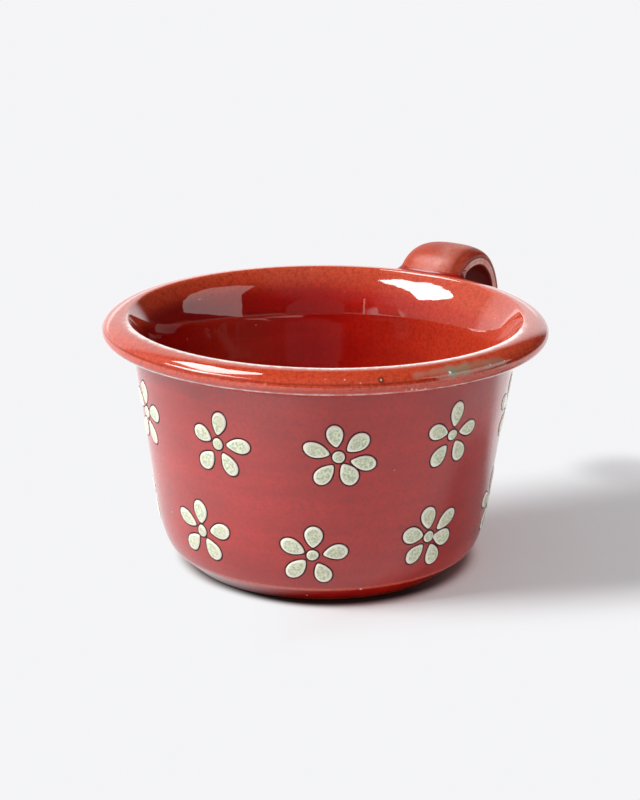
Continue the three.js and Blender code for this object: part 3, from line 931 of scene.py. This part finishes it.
def make_key_light():
    data = bpy.data.lights.new("key_soft_left", "AREA")
    data.shape = "RECTANGLE"
    data.size = KEY_WIDTH
    data.size_y = KEY_HEIGHT
    data.energy = KEY_RADIANCE * math.pi * KEY_WIDTH * KEY_HEIGHT
    lamp = bpy.data.objects.new("key_soft_left", data)
    facing = KEY_DIRECTION.to_track_quat("Z", "Y").to_matrix().to_4x4()
    lamp.matrix_world = Matrix.Translation(MIDDLE + KEY_DIRECTION * KEY_DISTANCE) @ facing
    lamp.visible_glossy = False
    lamp.visible_camera = False
    bpy.context.scene.collection.objects.link(lamp)


# Windows and lamps that are seen only in the glaze, on the walls and ceiling of a room (metres)

ROOM_REACH = 2.5


def left_wall(away, up):
    return AWAY * away - RIGHT + UP * up


def right_wall(away, up):
    return AWAY * away + RIGHT + UP * up


def front_wall(right, up):
    return RIGHT * right - AWAY + UP * up


def ceiling(right, away):
    return RIGHT * right + AWAY * away + UP


def add_panel(name, plane, radiance, colour, corners):
    """A bright panel. Its corners lie on its wall, in shares of the room's reach from the cup."""
    mesh = bpy.data.meshes.new(name)
    points = [MIDDLE + plane(*corner) * ROOM_REACH for corner in corners]
    mesh.from_pydata(points, [], [tuple(range(len(corners)))])
    g = Graph(bpy.data.materials.new(name))
    mesh.materials.append(g.finish(g.emission(colour, radiance)))
    panel = bpy.data.objects.new(name, mesh)
    panel.visible_camera = False
    panel.visible_diffuse = False
    panel.visible_shadow = False
    bpy.context.scene.collection.objects.link(panel)


# The paper: millimetres from the cup's axis, each mask from where it is nothing to where it is full

PAPER_HALF = 6000
PAPER_HEIGHT = -0.02
PAPER_GLOW = (0.91, 0.91, 0.925)
PAPER_CLOTH = (0.90, 0.90, 0.905)
OPEN_LEFT = (10, -12)  # where the paper is lit at the cup's left
OPEN_FRONT = (-25, -45.5)  # before it, past a slanting line
OPEN_BEHIND = (-2, 28)  # behind it, past another
OPEN_BEHIND_MIRRORED = (-12, 18)  # the same as the glaze shows it
OPEN_BEYOND = (95, 150)  # all round, far off
FRONT_SLANT = 0.22
BEHIND_SLANT = 0.45
# A painted lobe of the handle's shadow: the paper's glow is held back round this place
HANDLE_SHADOW = RIGHT * 61 + AWAY * 45  # the far lobe of shadow, which the handle throws
HANDLE_SHADOW_EDGE = (3, 14)
# The crack round the foot is a painted contact shadow on the paper
CONTACT = (25.6, 29.2)  # the paper's glow begins past the crack round the foot
CONTACT_MIRRORED = (24.6, 27.5)
CONTACT_SIDE = (2, -18)  # towards the left the crack is narrower
CONTACT_SHIFT = 2.0
THROWN_UP_FROM = (24.6, 27.0)  # the ring of paper that throws light up at the wall
THROWN_UP_TO = (40, 30)


def paper_share(g, flat, reach, across, away):
    """How much of the paper glows by itself. The rest is a plain sheet, which keeps the cup's shadow."""
    rays = g.node("ShaderNodeLightPath").outputs
    front_line = g.minus(away, g.times(across, FRONT_SLANT))
    behind_line = g.minus(away, g.times(across, BEHIND_SLANT))
    from_handle = g.fade(g.vectors("DISTANCE", flat, HANDLE_SHADOW * MM), *HANDLE_SHADOW_EDGE, 0.45, 1.0)
    lit = g.most(g.fade(front_line, *OPEN_FRONT), g.times(g.fade(behind_line, *OPEN_BEHIND), from_handle))
    lit = g.most(g.fade(across, *OPEN_LEFT), lit)
    lit = g.most(g.fade(reach, *OPEN_BEYOND), lit)
    from_foot = g.plus(reach, g.fade(across, *CONTACT_SIDE, 0.0, CONTACT_SHIFT * MM))
    # The masks paint the outline of the cup's shadow; within it a fifth of the glow stays, as painted light
    seen = g.times(g.span(lit, 0.0, 1.0, 0.20, 1.0, soft=False), g.fade(from_foot, *CONTACT))
    mirrored = g.most(lit, g.fade(behind_line, *OPEN_BEHIND_MIRRORED))
    mirrored = g.times(g.times(mirrored, g.fade(from_foot, *CONTACT_MIRRORED)), 0.9)
    thrown_up = g.times(g.fade(reach, *THROWN_UP_TO, 0.0, 0.9), g.fade(reach, *THROWN_UP_FROM))
    share = g.times(rays["Is Camera Ray"], seen)
    share = g.most(share, g.times(rays["Is Glossy Ray"], mirrored))
    return g.most(share, g.times(rays["Is Diffuse Ray"], thrown_up))


def paper_glow(g, across, away):
    """Strength of the paper's own glow. In the glaze it is stronger at the left and at the far right."""
    rays = g.node("ShaderNodeLightPath").outputs
    far_right = g.times(g.fade(away, 5, 30), g.fade(across, 30, 65))
    mirrored = g.plus(g.fade(across, -60, 20, 0.35, -0.27), g.times(far_right, 0.7))
    return g.plus(g.times(rays["Is Glossy Ray"], mirrored), 1.0)


def paper_material():
    """White paper that keeps the cup's shadow, with a painted contact shadow where the foot stands on it."""
    g = Graph(bpy.data.materials.new("studio_floor_white"))
    flat = g.vectors("MULTIPLY", g.place, (1, 1, 0))
    reach = g.vectors("LENGTH", flat)
    across = g.vectors("DOT_PRODUCT", flat, RIGHT)
    away = g.vectors("DOT_PRODUCT", flat, AWAY)
    # Painted contact shadow: dark paper round the foot, darkest in front
    painted_contact_shadow = g.mix(g.fade(away, -10, -22), (0.30, 0.27, 0.26), (0.05, 0.04, 0.035))
    colour = g.mix(g.fade(reach, 25, 28), painted_contact_shadow, PAPER_CLOTH)
    cloth = g.node("ShaderNodeBsdfDiffuse", {"Color": colour}).outputs[0]
    glow = g.emission(PAPER_GLOW, paper_glow(g, across, away))
    inputs = {0: paper_share(g, flat, reach, across, away), 1: cloth, 2: glow}
    return g.finish(g.node("ShaderNodeMixShader", inputs).outputs[0])


def make_floor():
    corners = [(-1, -1), (1, -1), (1, 1), (-1, 1)]
    points = [Vector((x * PAPER_HALF, y * PAPER_HALF, PAPER_HEIGHT)) * MM for x, y in corners]
    mesh = bpy.data.meshes.new("studio_floor")
    mesh.from_pydata(points, [], [(0, 1, 2, 3)])
    mesh.materials.append(paper_material())
    floor = bpy.data.objects.new("studio_floor", mesh)
    bpy.context.scene.collection.objects.link(floor)


# The room as the glaze mirrors it: soft patches of (round and up in degrees, outer and inner angle, radiance)

ROOM_PATCHES = [
    (-20, 6, 44, 30, 1.05),
    (-90, 25, 56, 26, 0.40),
    (-135, 10, 17, 10, 1.2),
    (9, 8, 24, 13, 1.25),
    (-175, 60, 40, 15, 0.15),
]
DARK_GAP = (48, 0, 34, 20, -0.85)
ROOM_DARK = 0.02
STUDIO_LIGHT = 0.41
BACKDROP = 0.92


def make_world():
    """A plain light on the cup, a white backdrop for the camera, and the room for the glaze: a bright horizon
    with a dark gap in it, a low strip straight ahead, and the patches."""
    world = bpy.data.worlds.new("studio")
    bpy.context.scene.world = world
    g = Graph(world)
    rays = g.node("ShaderNodeLightPath").outputs
    way = g.coordinates["Generated"]
    height = g.node("ShaderNodeSeparateXYZ", {0: way}).outputs["Z"]

    def patch(round_degrees, up_degrees, outer, inner, radiance):
        """A soft round patch, from nothing at the outer angle to its full radiance at the inner one."""
        nearness = g.vectors("DOT_PRODUCT", way, towards(round_degrees, up_degrees))
        return g.span(nearness, math.cos(math.radians(outer)), math.cos(math.radians(inner)), 0.0, radiance)

    horizon = g.times(g.span(height, 0.04, 0.20, 1.15, 0.0), g.plus(patch(*DARK_GAP), 1.0))
    low_strip = g.times(g.span(height, 0.08, 0.12), g.span(height, 0.17, 0.20, 1.0, 0.0))
    ahead = g.vectors("DOT_PRODUCT", way, towards(-8, 8))
    low_strip = g.times(low_strip, g.span(ahead, 0.88, 0.95, 0.0, 1.9))
    room = g.most(g.most(horizon, low_strip), ROOM_DARK)
    for values in ROOM_PATCHES:
        room = g.most(room, patch(*values))
    strength = g.either(rays["Is Glossy Ray"], STUDIO_LIGHT, room)
    strength = g.either(rays["Is Camera Ray"], strength, BACKDROP)
    shader = g.node("ShaderNodeBackground", {"Color": (0.985, 0.985, 1.0, 1), "Strength": strength})
    g.node("ShaderNodeOutputWorld", {"Surface": shader.outputs[0]})


# The photograph's camera: focal length and shift in pixels of its height, distance in millimetres

PHOTO_HEIGHT = 800
FOCAL_LENGTH = 2018
SIDE_SHIFT = -3.4
CAMERA_DISTANCE = 355.7
CAMERA_RISE = 17.15
CAMERA_ROLL = 0.468
SENSOR = 36


def make_camera():
    data = bpy.data.cameras.new("photo_camera")
    data.sensor_width = SENSOR
    data.sensor_fit = "AUTO"
    data.lens = FOCAL_LENGTH * SENSOR / PHOTO_HEIGHT
    data.shift_x = SIDE_SHIFT / PHOTO_HEIGHT
    data.clip_start = 0.01
    data.clip_end = 50
    camera = bpy.data.objects.new("photo_camera", data)
    back = towards(180, CAMERA_RISE)
    place = Matrix.Translation(MIDDLE + back * CAMERA_DISTANCE * MM)
    look = back.to_track_quat("Z", "Y").to_matrix().to_4x4()
    camera.matrix_world = place @ look @ Matrix.Rotation(math.radians(CAMERA_ROLL), 4, "Z")
    bpy.context.scene.collection.objects.link(camera)
    bpy.context.scene.camera = camera


make_floor()
make_world()
make_camera()
make_key_light()
add_panel("window_left_inside", left_wall, 12.0, (1.0, 1.0, 1.0), [
    (-0.911, 2.009), (-0.610, 1.632), (-0.268, 1.250), (-0.031, 1.020), (0.091, 0.907), (0.194, 0.803),
    (0.214, 0.755), (0.159, 0.736), (-0.010, 0.758), (-0.287, 0.825), (-0.322, 0.957), (-0.384, 1.115),
    (-0.528, 1.340), (-0.734, 1.652),
])
add_panel("window_left_rim", ceiling, 9.0, (1.0, 1.0, 1.0), [
    (-0.762, 0.543), (-0.583, 0.610), (-0.458, 0.659), (-0.375, 0.623), (-0.340, 0.455), (-0.277, 0.402),
    (-0.203, 0.343), (-0.234, 0.198), (-0.330, 0.110), (-0.462, -0.018), (-0.680, -0.090), (-0.770, -0.030),
    (-0.780, 0.045), (-0.752, 0.261), (-0.728, 0.452),
])
add_panel("window_right", right_wall, 1.2, (1.0, 0.96, 0.94), [
    (0.434, 0.623), (0.333, 0.722), (0.156, 0.842), (-0.097, 1.008), (-0.608, 1.446), (-0.488, 1.143),
    (-0.450, 0.967), (-0.552, 0.577), (-0.616, 0.136), (-0.316, 0.224), (0.003, 0.316), (0.282, 0.354),
    (0.406, 0.409), (0.441, 0.539),
])
add_panel("glass_door", front_wall, 0.16, (1.0, 0.9, 0.88), [
    (-0.26, 0.06), (-0.27, 0.45), (-0.20, 0.66), (0.10, 0.74), (0.38, 0.68), (0.48, 0.45), (0.51, 0.06),
])
add_panel("door_edge", front_wall, 1.6, (1.0, 0.9, 0.85), [
    (-0.585, 0.90), (-0.615, 0.90), (-0.545, 0.10), (-0.515, 0.10),
])
add_panel("shelf_left", front_wall, 0.18, (1.0, 0.9, 0.88), [
    (-0.78, 0.78), (-1.30, 0.80), (-1.45, 0.25), (-0.80, 0.22),
])
add_panel("lamp_right", right_wall, 8.0, (1.0, 1.0, 1.0), [
    (0.183 + 0.016 * math.cos(i), 0.679 + 0.016 * math.sin(i)) for i in range(6)
])

bpy.context.scene.view_settings.view_transform = "Standard"
